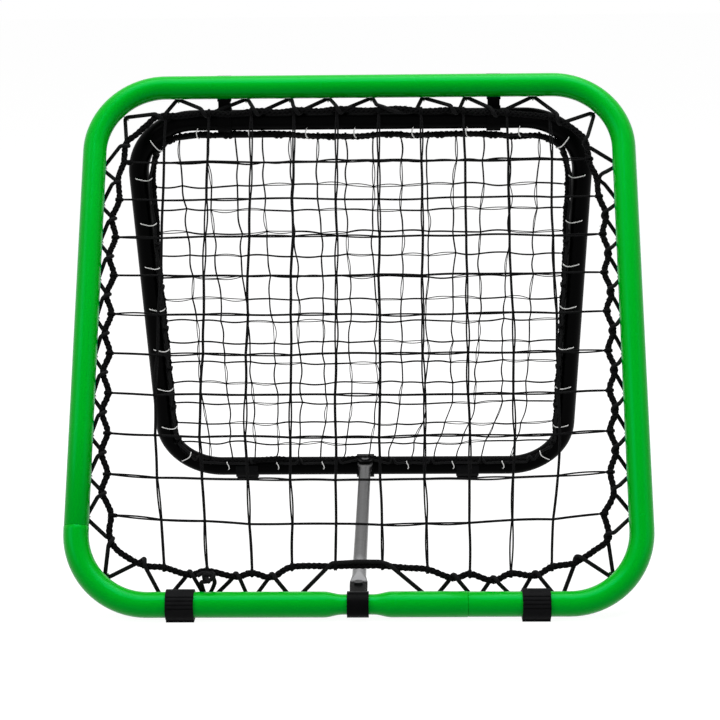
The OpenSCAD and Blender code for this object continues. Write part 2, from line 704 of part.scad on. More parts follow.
module stay_pivot_collar() {
    half = collar_w / 2;
    color(black) stay_place() difference() {
        union() {
            bar_x(-half, half, collar_r);
            translate([0, 0, collar_r - tab_t]) tab(stay_flat_w, rivet_y, stay_flat_w / 2);
        }
        bar_x(-half - 1, half + 1, rear_r + run_gap);
        translate([0, -rivet_y, 0]) cylinder(r = rivet_r + fit_gap, h = 2 * collar_r);
    }
}

module stay_rivet() {
    low = stay_rise - stay_flat_t / 2 - fit_gap;
    high = collar_r + fit_gap;
    color(steel) stay_place() translate([0, -rivet_y, 0]) {
        translate([0, 0, low - 1]) cylinder(r = rivet_r, h = high - low + 2);
        translate([0, 0, high]) cylinder(r = rivet_r + 2, h = 1.8);
        translate([0, 0, low - 1.8]) cylinder(r = rivet_r + 1.5, h = 1.8);
    }
}

echo(rear_lean = rear_lean, span = span, stay_len = stay_len, stay_tilt = stay_tilt,
    front_y0 = front_y0, rear_y0 = rear_y0, front_z0 = front_z0, rear_z0 = rear_z0,
    hinge_y = front_y0 + hinge_y, hinge_z = hinge_z, fold_angle = fold_angle);

front_main_tube();
front_lower_tube();
front_foot_left();
front_foot_right();
front_hooks();
front_elastic();
front_border_rope();
front_net();
stay_socket();
stay_peg();
hinge_bracket_left();
hinge_bracket_right();
hinge_screws();
rear_tube();
rear_foot_left();
rear_foot_right();
rear_hooks();
rear_elastic();
rear_border_rope();
rear_net();
stay_tube();
stay_pivot_collar();
stay_rivet();
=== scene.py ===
import json
import math
import random

import bmesh
import bpy
from mathutils import Matrix, Vector, noise


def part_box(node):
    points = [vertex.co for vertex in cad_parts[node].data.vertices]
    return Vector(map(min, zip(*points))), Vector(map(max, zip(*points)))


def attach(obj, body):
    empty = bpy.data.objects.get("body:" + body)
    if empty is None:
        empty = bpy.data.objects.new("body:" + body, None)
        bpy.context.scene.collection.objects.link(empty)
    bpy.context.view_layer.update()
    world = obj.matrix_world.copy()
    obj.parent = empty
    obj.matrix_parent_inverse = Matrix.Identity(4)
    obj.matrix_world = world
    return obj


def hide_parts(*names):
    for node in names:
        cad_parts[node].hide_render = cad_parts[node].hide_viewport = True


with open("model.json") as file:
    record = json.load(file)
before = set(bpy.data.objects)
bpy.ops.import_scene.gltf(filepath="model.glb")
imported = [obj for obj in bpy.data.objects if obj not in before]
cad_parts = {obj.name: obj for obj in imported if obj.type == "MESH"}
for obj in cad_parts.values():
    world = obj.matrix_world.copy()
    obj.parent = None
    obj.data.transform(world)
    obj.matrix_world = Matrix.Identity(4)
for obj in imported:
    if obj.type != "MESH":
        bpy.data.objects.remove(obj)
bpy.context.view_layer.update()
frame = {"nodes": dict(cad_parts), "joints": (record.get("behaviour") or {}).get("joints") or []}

# Sizes are in millimetres unless a name says otherwise; mm turns them into metres
mm = 0.001
scene = bpy.context.scene
scene.view_settings.view_transform = "Standard"
noise.seed_set(11)  # without it the ropes' strands would lie differently in each run
nodes = frame["nodes"]
jointAt = {joint["name"]: Vector(joint["pos_m"]) for joint in frame["joints"]}
print("stage: frame loaded,", len(nodes), "nodes")


# The two frames; in a frame's plane x runs across, z up the slope and y behind it
frames = {
    "front": {"halfWidth": 315.7, "height": 627.4, "bend": 83.0, "tubeRadius": 14.3},
    "rear": {"halfWidth": 274.5, "height": 542.99, "bend": 75.0, "tubeRadius": 12.5},
}
frontLean = math.radians(30.1)
footLow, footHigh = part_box("front_foot_left")
frontBase = Vector((0, (footLow.y + footHigh.y) / 2, (footLow.z + footHigh.z) / 2))
rearBase = jointAt["stay_swing"]
hingeAt = jointAt["rear_fold"]
rearLean = math.atan2(rearBase.y - hingeAt.y, hingeAt.z - rearBase.z)

scaleDown = Matrix.Scale(mm, 4)
frontPlane = Matrix.Translation(frontBase) @ Matrix.Rotation(-frontLean, 4, "X") @ scaleDown
rearPlane = Matrix.Translation(rearBase) @ Matrix.Rotation(rearLean, 4, "X") @ scaleDown
planes = {"front": frontPlane, "rear": rearPlane}


# Camera and light
cameraValues = {
    "placeMm": (43.8, -2074.2, 711.5),
    "pitchDown": 13.0,
    "turnLeft": 1.226,
    "roll": -0.586,
    "lens": 87.16,
    "sensor": 36.0,
    "farthest": 60.0,
}
# The lamps and the floor are in metres
lamps = {
    "softTop": {"place": (0.1, -0.2, 2.6), "target": (0, 0, 0.2), "size": (2.4, 2.0),
                "watts": 62.0},
    "softLeft": {"place": (-2.2, -1.7, 1.9), "target": (0, 0, 0.25), "size": (1.6, 1.8),
                 "watts": 19.0},
    "softRight": {"place": (2.3, -1.5, 1.3), "target": (0, 0, 0.25), "size": (1.4, 1.6),
                  "watts": 6.0},
}
studioValues = {
    "worldFill": 0.2,
    "floorShadow": 0.25,
    "floorBounce": 0.42,
    "floorGlow": 0.94,
    "floorSize": 20.0,
}


def makeCamera():
    camera = bpy.data.objects.new("camera", bpy.data.cameras.new("camera"))
    scene.collection.objects.link(camera)
    camera.location = Vector(cameraValues["placeMm"]) * mm
    turn = Matrix.Rotation(math.radians(cameraValues["turnLeft"]), 4, "Z")
    pitch = Matrix.Rotation(math.radians(90 - cameraValues["pitchDown"]), 4, "X")
    roll = Matrix.Rotation(math.radians(cameraValues["roll"]), 4, "Z")
    camera.rotation_euler = (turn @ pitch @ roll).to_euler()
    camera.data.lens = cameraValues["lens"]
    camera.data.sensor_width = cameraValues["sensor"]
    camera.data.clip_end = cameraValues["farthest"]
    scene.camera = camera


def areaLight(name, place, target, size, watts):
    light = bpy.data.lights.new(name, "AREA")
    light.shape = "RECTANGLE"
    light.size, light.size_y = size
    light.energy = watts
    lamp = bpy.data.objects.new(name, light)
    scene.collection.objects.link(lamp)
    lamp.location = place
    lamp.rotation_euler = (Vector(target) - Vector(place)).to_track_quat("-Z", "Y").to_euler()


def nodeMath(tree, operation, *values):
    node = tree.nodes.new("ShaderNodeMath")
    node.operation = operation
    for socket, value in zip(node.inputs, values):
        if isinstance(value, (int, float)):
            socket.default_value = value
        else:
            tree.links.new(value, socket)
    return node.outputs[0]


def showToViewer(tree, lighting, shown, outputKind):
    # Rays that arrive straight, off a reflection or through something see shown
    paths = tree.nodes.new("ShaderNodeLightPath").outputs
    seen = nodeMath(tree, "MAXIMUM", paths["Is Camera Ray"], paths["Is Glossy Ray"])
    seen = nodeMath(tree, "MAXIMUM", seen, paths["Is Transmission Ray"])
    mix = tree.nodes.new("ShaderNodeMixShader")
    out = tree.nodes.new(outputKind)
    for source, socket in zip((seen, lighting.outputs[0], shown.outputs[0]), mix.inputs):
        tree.links.new(source, socket)
    tree.links.new(mix.outputs[0], out.inputs["Surface"])


def makeWorld():
    world = bpy.data.worlds.new("paleStudio")
    scene.world = world
    world.use_nodes = True
    tree = world.node_tree
    tree.nodes.clear()
    plain = tree.nodes.new("ShaderNodeBackground")
    plain.inputs["Strength"].default_value = studioValues["worldFill"]
    white = tree.nodes.new("ShaderNodeBackground")
    for background in (plain, white):
        background.inputs["Color"].default_value = (1, 1, 1, 1)
    showToViewer(tree, plain, white, "ShaderNodeOutputWorld")


def makeFloor():
    bm = bmesh.new()
    bmesh.ops.create_grid(bm, x_segments=4, y_segments=4, size=studioValues["floorSize"])
    mesh = bpy.data.meshes.new("paleFloor")
    bm.to_mesh(mesh)
    bm.free()
    floor = bpy.data.objects.new("paleFloor", mesh)
    scene.collection.objects.link(floor)
    material = bpy.data.materials.new("paleFloor")
    material.use_nodes = True
    tree = material.node_tree
    tree.nodes.clear()
    plain = tree.nodes.new("ShaderNodeBsdfDiffuse")
    plain.inputs["Color"].default_value = (*[studioValues["floorBounce"]] * 3, 1)
    faint = tree.nodes.new("ShaderNodeBsdfDiffuse")
    faint.inputs["Color"].default_value = (*[studioValues["floorShadow"]] * 3, 1)
    glow = tree.nodes.new("ShaderNodeEmission")
    glow.inputs["Color"].default_value = (1, 1, 1, 1)
    glow.inputs["Strength"].default_value = studioValues["floorGlow"]
    both = tree.nodes.new("ShaderNodeAddShader")
    tree.links.new(glow.outputs[0], both.inputs[0])
    tree.links.new(faint.outputs[0], both.inputs[1])
    showToViewer(tree, plain, both, "ShaderNodeOutputMaterial")
    mesh.materials.append(material)


makeCamera()
makeWorld()
makeFloor()
for lampName, lampValues in lamps.items():
    areaLight(lampName, **lampValues)
print("stage: camera, world, floor and lights")


# Materials
def newMaterial(name, colour, roughness, metallic=0.0, specular=0.5, tint=None):
    material = bpy.data.materials.new(name)
    material.use_nodes = True
    shader = material.node_tree.nodes["Principled BSDF"]
    shader.inputs["Base Color"].default_value = (*colour, 1)
    shader.inputs["Roughness"].default_value = roughness
    shader.inputs["Metallic"].default_value = metallic
    shader.inputs["Specular IOR Level"].default_value = specular
    if tint:
        shader.inputs["Specular Tint"].default_value = (*tint, 1)
    return material, material.node_tree, shader


def objectNoise(tree, scale, detail=3.0):
    place = tree.nodes.new("ShaderNodeTexCoord")
    grain = tree.nodes.new("ShaderNodeTexNoise")
    grain.inputs["Scale"].default_value = scale
    grain.inputs["Detail"].default_value = detail
    tree.links.new(place.outputs["Object"], grain.inputs["Vector"])
    return grain.outputs["Fac"]


def spread(tree, source, low, high):
    remap = tree.nodes.new("ShaderNodeMapRange")
    remap.inputs["To Min"].default_value = low
    remap.inputs["To Max"].default_value = high
    tree.links.new(source, remap.inputs["Value"])
    return remap.outputs["Result"]


def colourMix(tree, shader, factor, first, second):
    blend = tree.nodes.new("ShaderNodeMix")
    blend.data_type = "RGBA"
    blend.inputs["A"].default_value = (*first, 1)
    blend.inputs["B"].default_value = (*second, 1)
    tree.links.new(factor, blend.inputs["Factor"])
    tree.links.new(blend.outputs["Result"], shader.inputs["Base Color"])


def roughFrom(tree, shader, source, low, high):
    tree.links.new(spread(tree, source, low, high), shader.inputs["Roughness"])


def bumpFrom(tree, shader, height, strength, distance):
    bump = tree.nodes.new("ShaderNodeBump")
    bump.inputs["Strength"].default_value = strength
    bump.inputs["Distance"].default_value = distance
    tree.links.new(height, bump.inputs["Height"])
    tree.links.new(bump.outputs["Normal"], shader.inputs["Normal"])


def paintMaterial(name, colour, darker, roughness, specular, tint, peel):
    material, tree, shader = newMaterial(name, colour, roughness, 0.0, specular, tint)
    colourMix(tree, shader, objectNoise(tree, 9.0), darker, colour)
    roughFrom(tree, shader, objectNoise(tree, 40.0, 5.0), roughness - 0.05, roughness + 0.05)
    bumpFrom(tree, shader, objectNoise(tree, 420.0, 2.0), peel, 0.00008)
    return material


def cordMaterial(name, colour, lighter, turnsAlong, turnsAround, depth, sheen):
    # Two crossing diagonal waves on the piece's own UV make a braided sheath
    material, tree, shader = newMaterial(name, colour, 0.7, 0.0, 0.08)
    shader.inputs["Sheen Weight"].default_value = sheen
    shader.inputs["Sheen Roughness"].default_value = 0.5
    uv = tree.nodes.new("ShaderNodeUVMap")
    parts = tree.nodes.new("ShaderNodeSeparateXYZ")
    tree.links.new(uv.outputs["UV"], parts.inputs[0])
    along = nodeMath(tree, "MULTIPLY", parts.outputs[0], turnsAlong)
    around = nodeMath(tree, "MULTIPLY", parts.outputs[1], turnsAround)
    left = nodeMath(tree, "SINE", nodeMath(tree, "ADD", along, around))
    right = nodeMath(tree, "SINE", nodeMath(tree, "SUBTRACT", along, around))
    height = spread(tree, nodeMath(tree, "MAXIMUM", left, right), 0.0, 1.0)
    colourMix(tree, shader, height, colour, lighter)
    bumpFrom(tree, shader, height, depth, 0.0004)
    return material


def fibreMaterial(name, colour, lighter, sheen):
    material, tree, shader = newMaterial(name, colour, 0.85, 0.0, 0.05)
    shader.inputs["Sheen Weight"].default_value = sheen
    shader.inputs["Sheen Roughness"].default_value = 0.6
    colourMix(tree, shader, objectNoise(tree, 260.0, 4.0), colour, lighter)
    bumpFrom(tree, shader, objectNoise(tree, 1500.0, 3.0), 0.5, 0.0003)
    return material


def metalMaterial(name, colour, darker, roughness, streak):
    material, tree, shader = newMaterial(name, colour, roughness, 1.0)
    colourMix(tree, shader, objectNoise(tree, 60.0, 6.0), darker, colour)
    roughFrom(tree, shader, objectNoise(tree, 300.0, 4.0), roughness - 0.08, roughness + 0.1)
    bumpFrom(tree, shader, objectNoise(tree, 900.0, 3.0), streak, 0.0001)
    return material


def mouldedMaterial(name, colour, lighter, roughness, specular, grain):
    material, tree, shader = newMaterial(name, colour, roughness, 0.0, specular)
    colourMix(tree, shader, objectNoise(tree, 120.0, 4.0), colour, lighter)
    roughFrom(tree, shader, objectNoise(tree, 700.0, 2.0), roughness - 0.06, roughness + 0.06)
    bumpFrom(tree, shader, objectNoise(tree, 1400.0, 2.0), grain, 0.00015)
    return material


greenValues = {"teal": (0.0, 1.0, 0.55), "sheen": 1.0, "sheenRoughness": 0.2}
greenPaint = paintMaterial("greenPaint", (0.0, 0.47, 0.009), (0.0, 0.43, 0.006),
                           0.26, 0.3, greenValues["teal"], 0.1)
greenShader = greenPaint.node_tree.nodes["Principled BSDF"]
greenShader.inputs["Sheen Weight"].default_value = greenValues["sheen"]
greenShader.inputs["Sheen Roughness"].default_value = greenValues["sheenRoughness"]
greenShader.inputs["Sheen Tint"].default_value = (*greenValues["teal"], 1)
blackPaint = paintMaterial("blackPaint", (0.0012, 0.0012, 0.0013), (0.0008, 0.0008, 0.0009),
                           0.3, 0.018, None, 0.12)
footRubber = mouldedMaterial("footRubber", (0.007, 0.007, 0.0075), (0.013, 0.013, 0.014),
                             0.5, 0.015, 0.35)
blackPlastic = mouldedMaterial("blackPlastic", (0.0018, 0.0018, 0.002), (0.0036, 0.0036, 0.004),
                               0.34, 0.02, 0.2)
bracketBlack = mouldedMaterial("bracketBlack", (0.0015, 0.0015, 0.0016), (0.003, 0.003, 0.0032),
                               0.42, 0.015, 0.25)
darkScrew = metalMaterial("darkScrew", (0.06, 0.06, 0.063), (0.025, 0.025, 0.027), 0.38, 0.3)
staySteel = metalMaterial("staySteel", (0.46, 0.46, 0.465), (0.34, 0.34, 0.345), 0.34, 0.2)
hookWire = metalMaterial("hookWire", (0.62, 0.62, 0.61), (0.45, 0.45, 0.44), 0.28, 0.15)
elasticSheath = cordMaterial("elasticSheath", (0.002, 0.002, 0.0022), (0.0055, 0.0055, 0.006),
                             1800.0, 25.13, 0.5, 0.012)
ropeFibre = fibreMaterial("ropeFibre", (0.0012, 0.0012, 0.0013), (0.004, 0.004, 0.0043), 0.01)
twine = fibreMaterial("twine", (0.002, 0.002, 0.0022), (0.006, 0.006, 0.0064), 0.01)


# Shares of the stay's run from front to rear, for painted light near the front and painted shade
# towards the rear; those for the front count from its black tip
stayValues = {
    "tipBehindPeg": 13.0,
    "tipColour": (0.01, 0.01, 0.0105, 1),
    "frontPaintedLight": [(0.008, 0.9), (0.1, 1.0), (0.16, 0.36)],
    "rearPaintedShade": [(0.7, 0.2), (0.965, 0.17)],
    "rearFrom": 0.985,
    "rearColour": (0.03, 0.03, 0.031, 1),
    "blueness": 1.01,
    "edgeShade": 0.22,
    "bareFrom": 0.1,
    "specular": 0.03,
}


def multiplied(tree, first, second):
    mix = tree.nodes.new("ShaderNodeMix")
    mix.data_type = "RGBA"
    mix.blend_type = "MULTIPLY"
    mix.inputs["Factor"].default_value = 1.0
    tree.links.new(first, mix.inputs["A"])
    tree.links.new(second, mix.inputs["B"])
    return mix.outputs["Result"]


def stayPaintedShade():
    # Painted light on the steel near the front end and painted shade up towards the rear, where the
    # rear frame and net shade it; both ends blackened
    v = stayValues
    tree = staySteel.node_tree
    shader = tree.nodes["Principled BSDF"]
    frontEnd, rearEnd = [corner.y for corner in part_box("stay_tube")]
    pegY = sum(corner.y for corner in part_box("stay_peg")) / 2
    coord = tree.nodes.new("ShaderNodeTexCoord")
    split = tree.nodes.new("ShaderNodeSeparateXYZ")
    ramp = tree.nodes.new("ShaderNodeValToRGB")
    place = tree.nodes.new("ShaderNodeMapRange")
    place.inputs["From Min"].default_value = frontEnd
    place.inputs["From Max"].default_value = rearEnd
    blackTo = (pegY + v["tipBehindPeg"] * mm - frontEnd) / (rearEnd - frontEnd)
    low, high = ramp.color_ramp.elements
    low.position, low.color = blackTo, v["tipColour"]
    high.position, high.color = v["rearFrom"], v["rearColour"]
    # the front stops paint light on the steel, the rear ones paint shade
    shades = [(blackTo + share, shade) for share, shade in v["frontPaintedLight"]] + v["rearPaintedShade"]
    for share, shade in shades:
        stop = ramp.color_ramp.elements.new(share)
        stop.color = (shade, shade, shade * v["blueness"], 1)
    steel = shader.inputs["Base Color"].links[0].from_socket
    tree.links.new(coord.outputs["Object"], split.inputs[0])
    tree.links.new(split.outputs["Y"], place.inputs["Value"])
    tree.links.new(place.outputs["Result"], ramp.inputs["Fac"])
    # painted shade on the rounded edges that face sideways, darker than the flats
    facing = tree.nodes.new("ShaderNodeSeparateXYZ")
    tree.links.new(coord.outputs["Normal"], facing.inputs[0])
    edge = nodeMath(tree, "ABSOLUTE", facing.outputs["X"])
    paintedEdgeShade = spread(tree, edge, 1.0, v["edgeShade"])
    shaded = multiplied(tree, steel, ramp.outputs["Color"])
    tree.links.new(multiplied(tree, shaded, paintedEdgeShade), shader.inputs["Base Color"])
    bare = nodeMath(tree, "GREATER_THAN", ramp.outputs["Color"], v["bareFrom"])
    tree.links.new(bare, shader.inputs["Metallic"])
    shader.inputs["Specular IOR Level"].default_value = v["specular"]


stayPaintedShade()
print("stage: materials")


# Helpers for pieces
def placePiece(piece, body, nodeName, material):
    if not piece.data.materials:
        piece.data.materials.append(material)
    for face in piece.data.polygons:
        face.use_smooth = True
    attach(piece, body)
    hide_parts(nodeName)


def steadyOrder(bm):
    # An extrude lists its faces differently in each run, so all is put in order by its place
    def place(item):
        if isinstance(item, bmesh.types.BMVert):
            return tuple(item.co)
        return sorted(vert.index for vert in item.verts)

    for items in (bm.verts, bm.edges, bm.faces):
        for index, item in enumerate(sorted(items, key=place)):
            item.index = index
        items.sort()
        items.index_update()


def pieceFromBmesh(bm, name, plane):
    bmesh.ops.transform(bm, matrix=plane, verts=bm.verts[:])
    steadyOrder(bm)
    bmesh.ops.recalc_face_normals(bm, faces=bm.faces[:])
    mesh = bpy.data.meshes.new(name)
    bm.to_mesh(mesh)
    bm.free()
    piece = bpy.data.objects.new(name, mesh)
    scene.collection.objects.link(piece)
    return piece


def tubesFromPaths(name, paths, radius, roundness, closed, plane):
    # One curve holds every path; it becomes a mesh whose UV runs in metres along each cord
    curve = bpy.data.curves.new(name, "CURVE")
    curve.dimensions = "3D"
    curve.bevel_depth = radius * mm
    curve.bevel_resolution = roundness
    curve.use_fill_caps = not closed
    for path in paths:
        spline = curve.splines.new("POLY")
        spline.points.add(len(path) - 1)
        for point, place in zip(spline.points, path):
            point.co = (*(plane @ Vector(place)), 1)
        spline.use_cyclic_u = closed
    holder = bpy.data.objects.new(name + "Curve", curve)
    scene.collection.objects.link(holder)
    mesh = bpy.data.meshes.new_from_object(holder.evaluated_get(
        bpy.context.evaluated_depsgraph_get()))
    bpy.data.objects.remove(holder)
    bpy.data.curves.remove(curve)
    mesh.name = name
    piece = bpy.data.objects.new(name, mesh)
    scene.collection.objects.link(piece)
    return piece


def joinPieces(pieces, name):
    bm = bmesh.new()
    for piece in pieces:
        bm.from_mesh(piece.data)
        mesh = piece.data
        bpy.data.objects.remove(piece)
        bpy.data.meshes.remove(mesh)
    mesh = bpy.data.meshes.new(name)
    bm.to_mesh(mesh)
    bm.free()
    joined = bpy.data.objects.new(name, mesh)
    scene.collection.objects.link(joined)
    return joined


def polar(radius, angle):
    return radius * math.cos(angle), radius * math.sin(angle)


def ringAt(bm, radius, sides, matrix):
    made = bmesh.ops.create_circle(bm, segments=sides, radius=radius, matrix=matrix)
    return list({edge for vert in made["verts"] for edge in vert.link_edges})


def extrudeRing(bm, ring, matrix):
    made = bmesh.ops.extrude_edge_only(bm, edges=ring)["geom"]
    fresh = {item for item in made if isinstance(item, bmesh.types.BMVert)}
    bmesh.ops.transform(bm, matrix=matrix, verts=list(fresh))
    return [item for item in made if isinstance(item, bmesh.types.BMEdge)
            and item.verts[0] in fresh and item.verts[1] in fresh]


def about(centre, matrix):
    return Matrix.Translation(centre) @ matrix @ Matrix.Translation(-Vector(centre))


def evenPath(dense, step, closed):
    total = sum((b - a).length for a, b in zip(dense, dense[1:]))
    wanted = max(4, round(total / step))
    even, walked, target = [], 0.0, 0.0
    for a, b in zip(dense, dense[1:]):
        length = (b - a).length
        while target <= walked + length and len(even) < wanted:
            even.append(a.lerp(b, (target - walked) / length if length else 0))
            target += total / wanted
        walked += length
    if not closed:
        even.append(dense[-1].copy())
    return even, total


pathValues = {"fineness": 0.4, "cutShare": 0.48, "cutSteps": 5}


def smoothPath(points, step, closed=False):
    # A flowing line through the points, then cut into equal steps
    count = len(points)
    dense = []
    for i in range(count if closed else count - 1):
        if closed:
            p = [points[(i + k) % count] for k in (-1, 0, 1, 2)]
        else:
            p = [points[min(max(i + k, 0), count - 1)] for k in (-1, 0, 1, 2)]
        pieces = max(2, int((p[2] - p[1]).length / (step * pathValues["fineness"])))
        for j in range(pieces):
            t = j / pieces
            dense.append(0.5 * ((2 * p[1]) + (p[2] - p[0]) * t
                                + (2 * p[0] - 5 * p[1] + 4 * p[2] - p[3]) * t * t
                                + (3 * p[1] - p[0] - 3 * p[2] + p[3]) * t * t * t))
    dense.append(dense[0].copy() if closed else points[-1].copy())
    return evenPath(dense, step, closed)


def tautPath(points, rounding, step):
    # Straight runs between the points, with each corner rounded off
    v = pathValues
    dense = [points[0]]
    for before, here, after in zip(points, points[1:], points[2:]):
        shorter = min((here - before).length, (after - here).length)
        cut = min(rounding, shorter * v["cutShare"])
        start = here + (before - here).normalized() * cut
        end = here + (after - here).normalized() * cut
        for k in range(v["cutSteps"] + 1):
            t = k / v["cutSteps"]
            dense.append(start.lerp(here, t).lerp(here.lerp(end, t), t))
    dense.append(points[-1])
    return evenPath(dense, step, False)


# The lacing: stations run round each frame, counter-clockwise from the bottom left corner.
# A station is [x, z, inward angle, kind, distance in, distance behind, half length along]
lacing = {
    "front": {
        "side": 1, "cordRadius": 2.4, "squeeze": 0.35,
        "bottom": [("hook", -215.8), ("wrap", -187.2, 33.3), ("hook", -165.7),
                   ("wrap", -135.8, 30.9), ("hook", -119.3), ("wrap", -95.8, 30.2),
                   ("hook", -71.2), ("over", -29, 45.2), ("over", 0, 46.9), ("over", 24, 46.7),
                   ("cross", 34, 43.5), ("hook", 81.8), ("wrap", 105.4, 28.7), ("hook", 130.5),
                   ("wrap", 149.1, 25.8), ("hook", 175.5), ("wrap", 195.6, 31.3),
                   ("hook", 223.3)],
        "top": [("hook", 210.9), ("wrap", 163.7, 35.7), ("hook", 130.5), ("wrap", 115.8, 31.9),
                ("hook", 79.0), ("wrap", 47, 30.0, 23), ("hook", 14.8), ("wrap", -22.4, 29.6),
                ("hook", -37.4), ("wrap", -72.9, 30.6), ("hook", -84.2), ("wrap", -122, 31.4),
                ("hook", -137.2), ("wrap", -183.7, 33.5), ("hook", -219.4)],
        "sideCount": 10, "sidePitch": 47.4, "sideMiddle": 316.0, "wrapIn": 21.6,
        "loopIn": 28.2, "bow": 5.5, "first": 3, "last": 17,
        "wraps": [[(-277.2, 72.9, 25), (-239.8, 48.0, 63)],
                  [(243.6, 48.8, 117), (278.9, 74.5, 155)],
                  [(272.2, 550.7, 205), (241.1, 580.9, 243)],
                  [(-237.9, 590.5, 297), (-279.3, 552.9, 335)]],
        "hug": [(-1.0, -0.35, 0.94), (-0.5, 0.38, 0.87), (-0.1, 0.74, 0.1), (0.35, 0.55, -0.66),
                (0.75, 0.0, -0.97), (1.1, -0.55, -0.82)],
        "apex": (8.3, 16.2), "cornerApex": (13.6, 11.8),
    },
    "rear": {
        "side": -1, "cordRadius": 1.75, "squeeze": 0.3,
        "bottom": [("hook", -191), ("wrap", -161, 15.5), ("hook", -122), ("wrap", -91, 15.2),
                   ("hook", -59), ("wrap", -38, 16), ("over", 0, 24), ("wrap", 38, 15),
                   ("hook", 58), ("wrap", 91, 15), ("hook", 121), ("wrap", 161, 15),
                   ("hook", 190)],
        "top": [("hook", 194.8), ("wrap", 163, 19.5), ("hook", 131.3), ("wrap", 98, 18.5),
                ("hook", 66), ("wrap", 36, 17.6), ("hook", -4.3), ("wrap", -34, 20),
                ("hook", -62.9), ("wrap", -98, 17.2), ("hook", -131.9), ("wrap", -160, 17.2),
                ("hook", -195.4)],
        "sideCount": 7, "sidePitch": 65, "sideMiddle": 275.0, "wrapIn": 14.2,
        "loopIn": 15.0, "bow": 0.0, "first": 1, "last": 13,
        "wraps": [[(-257.6, 56, 20), (-232, 20.6, 70)], [(228, 18.6, 110), (258.8, 50, 160)],
                  [(250.5, 499, 205), (232, 517.3, 245)],
                  [(-230, 520.6, 295), (-250.8, 500, 335)]],
        "hug": [(-1.0, 0.0, 0.98), (-0.5, 0.6, 0.66), (-0.15, 0.7, -0.3), (0.15, 0.7, -0.3),
                (0.5, 0.6, 0.66), (1.0, 0.0, 0.98)],
        "apex": (14.6, 13.2), "cornerApex": (14.6, 13.2),
    },
}
ropeRadius = 3.8
plainReach = 5
bowReach = 200
elasticValues = {"rounding": 2.4, "step": 1.5, "turnHalf": 2.6, "turnDrop": 1.3, "turnSeat": 0.4,
                 "overShare": 0.7}
nearValues = {"most": 9.3, "topShare": 0.5, "fade": 180}
knotEnds = {
    "start": [(-177, -7, 31), (-171.5, -9, 34), (-165, -9, 33.5), (-160.5, -6.5, 30.5),
              (-162, -4.5, 27), (-167, -6, 26), (-170.5, -9, 28.5), (-168.5, -12, 32),
              (-163, -12.5, 31.5), (-159, -10, 28), (-158, -4, 24), (-161, 3, 19)],
    "end": [(-169.5, 14, 9.5), (-172, 7, 18), (-173.5, -5, 24.5), (-166.5, -10.5, 23.8),
            (-161, -13, 26), (-158, -12, 30.5), (-161, -9, 34.5), (-166.5, -8, 30.5),
            (-167, -12.5, 26.8), (-163, -14.5, 22.5)],
}


def hangBack(which, z):
    # The rear rope lies towards the near side of its frame, by less at the top
    if which == "front":
        return 0.0
    v = nearValues
    return -v["most"] * min(1.0, v["topShare"] + (frames["rear"]["height"] - z) / v["fade"])


def sideBow(which, z):
    # The front rope's sides draw in towards their ends
    v = lacing[which]
    return v["bow"] * ((z - v["sideMiddle"]) / bowReach) ** 2


def laceStations(which):
    v, f = lacing[which], frames[which]
    cx, cz, bend = f["halfWidth"], f["height"], f["bend"]
    inx, topZ = cx - bend, cz - bend
    half = (v["sideCount"] - 1) / 2
    sideZ = [v["sideMiddle"] + (k - half) * v["sidePitch"] for k in range(v["sideCount"])]

    def station(x, z, degrees, kind, inward=0, span=plainReach):
        return [x, z, math.radians(degrees), kind, inward, hangBack(which, z), span]

    def corner(x, z, degrees, before, after):
        c, q = polar(bend, math.radians(degrees))
        return [station(*before, "wrap"), station(x - c, z - q, degrees, "corner"),
                station(*after, "wrap")]

    def onBar(entries, z, degrees):
        return [station(x, z, degrees, kind, *more) for kind, x, *more in entries]

    def upSide(x, degrees):
        made = []
        for k, z in enumerate(sideZ):
            if k:
                middle = z - v["sidePitch"] / 2
                inward = v["wrapIn"] + sideBow(which, middle)
                made.append(station(x, middle, degrees, "wrap", inward))
            made.append(station(x, z, degrees, "hook"))
        return made

    low, lowRight, highRight, highLeft = v["wraps"]
    lace = onBar(v["bottom"], 0, 90)
    lace += corner(inx, bend, 135, *lowRight)
    lace += upSide(cx, 180)
    lace += corner(inx, topZ, 225, *highRight)
    lace += onBar(v["top"], cz, 270)
    lace += corner(-inx, topZ, 315, *highLeft)
    lace += reversed(upSide(-cx, 0))
    lace += corner(-inx, bend, 45, *low)
    # begin and end where the two cord ends are knotted together
    cut = 2
    return lace[cut:] + lace[:cut]


def offStation(s, along, inward, behind):
    c, q = polar(1, s[2])
    return Vector((s[0] + inward * c + along * q, behind, s[1] + inward * q - along * c))


def lacePath(which):
    v = lacing[which]
    w = ropeRadius + v["cordRadius"] - v["squeeze"]
    side = v["side"]
    path = []
    for s in laceStations(which):
        if s[3] in ("hook", "corner"):
            inward, behind = v["apex" if s[3] == "hook" else "cornerApex"]
            for t in (-1, 0, 1):
                dip = abs(t) * elasticValues["turnDrop"] - elasticValues["turnSeat"]
                along = t * elasticValues["turnHalf"]
                path.append(offStation(s, along, inward + dip, side * behind))
        elif s[3] == "over":
            path.append(offStation(s, 0, s[4], s[5] - w * elasticValues["overShare"]))
        elif s[3] == "cross":
            path.append(offStation(s, 0, s[4], s[5] - w))
        else:
            reach = s[6]
            for along, inward, behind in v["hug"]:
                path.append(offStation(s, along * reach, s[4] + inward * w,
                                       s[5] + side * behind * w))
    if which == "front":
        # the two ends meet in a small knot with short tails
        knot = [Vector(place) for place in knotEnds["start"]]
        path = knot + path + [Vector(place) for place in knotEnds["end"]]
    return path


